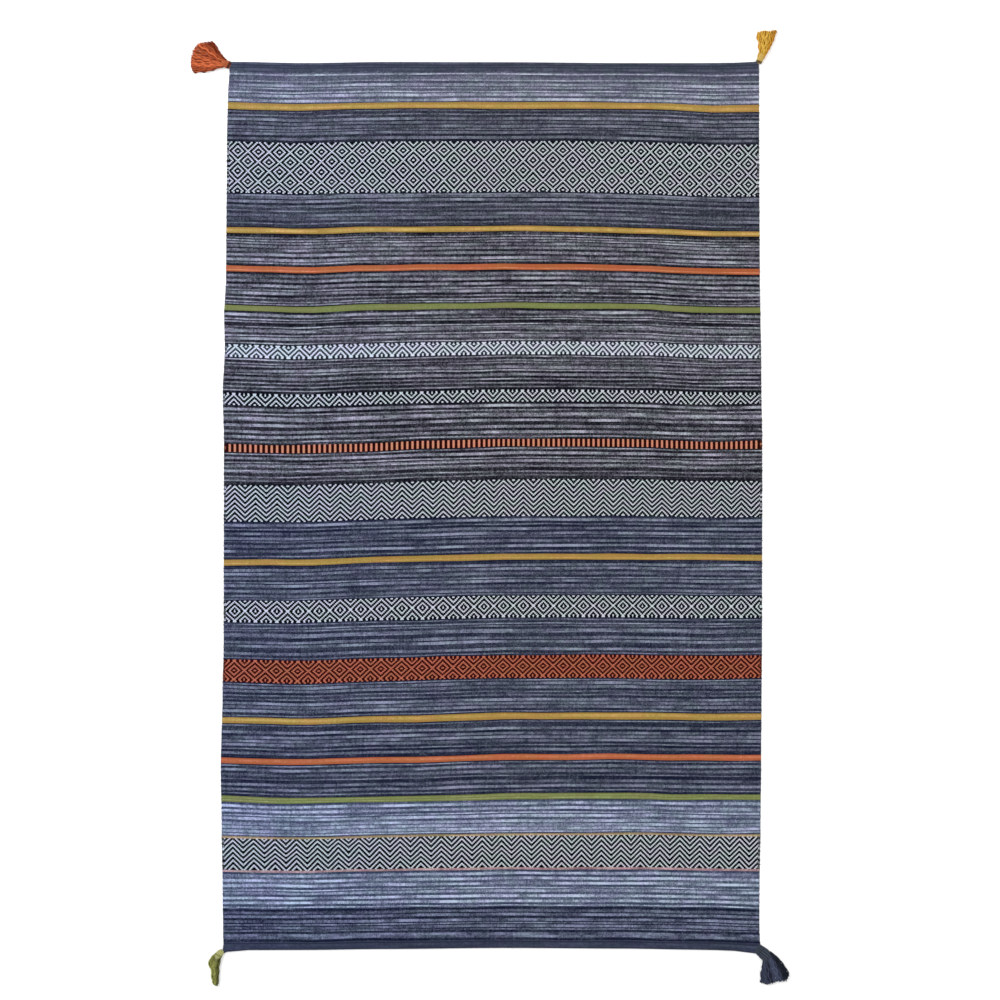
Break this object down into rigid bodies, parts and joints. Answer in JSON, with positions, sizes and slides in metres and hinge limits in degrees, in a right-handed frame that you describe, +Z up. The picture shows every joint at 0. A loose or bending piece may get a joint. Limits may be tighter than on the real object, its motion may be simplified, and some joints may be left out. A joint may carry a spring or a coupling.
{
  "type": "kilim rug",
  "caption": "Flat-woven rectangular rug with striped and patterned bands, plain hemmed ends and a loose yarn tassel at each corner.",
  "frame": {"origin": "middle of the rug's underside, on the floor", "axes": "+X across the rug to its right side, +Y along it to its top end, +Z up from the floor"},
  "size_m": [1.3454, 2.148, 0.0156],
  "materials": {
    "rug_cloth": "matt cotton flat weave",
    "orange_yarn": "soft cotton yarn",
    "yellow_yarn": "soft cotton yarn",
    "green_yarn": "soft cotton yarn",
    "navy_yarn": "soft cotton yarn"
  },
  "bodies": {
    "root": {"rug": "rug_cloth", "tassel_orange": "orange_yarn", "tassel_yellow": "yellow_yarn", "tassel_green": "green_yarn", "tassel_navy": "navy_yarn"}
  },
  "joints": []
}
